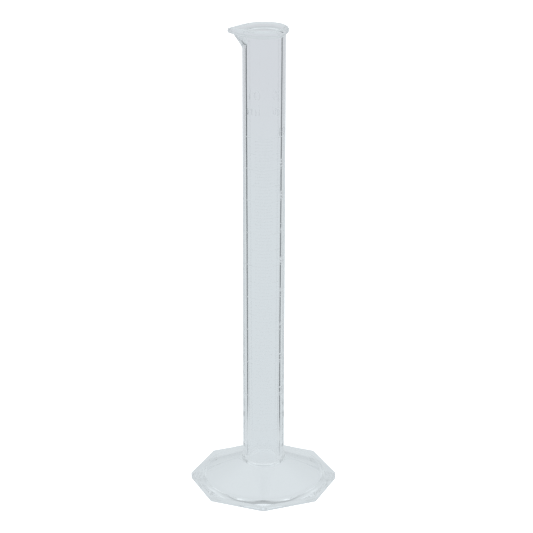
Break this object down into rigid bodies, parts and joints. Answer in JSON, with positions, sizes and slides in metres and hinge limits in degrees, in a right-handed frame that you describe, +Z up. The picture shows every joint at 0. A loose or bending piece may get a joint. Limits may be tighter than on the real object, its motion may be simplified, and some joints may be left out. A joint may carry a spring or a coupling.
{
  "type": "graduated cylinder",
  "caption": "Tall clear plastic measuring cylinder with a rolled rim, a pouring spout, a raised scale and a hollow octagonal foot.",
  "frame": {"origin": "on the table, at the middle of the foot, on the axis of the barrel", "axes": "+Z up the barrel towards the rim; the pouring spout points along -X; the scale is read from -Y"},
  "size_m": [0.0502, 0.0502, 0.1597],
  "materials": {
    "barrel_plastic": "clear moulded plastic, glossy inside and out, with a faint cool tint",
    "foot_plastic": "clear moulded plastic, glossy, with a faint cool tint"
  },
  "bodies": {
    "root": {"barrel": "barrel_plastic", "foot": "foot_plastic"}
  },
  "joints": []
}
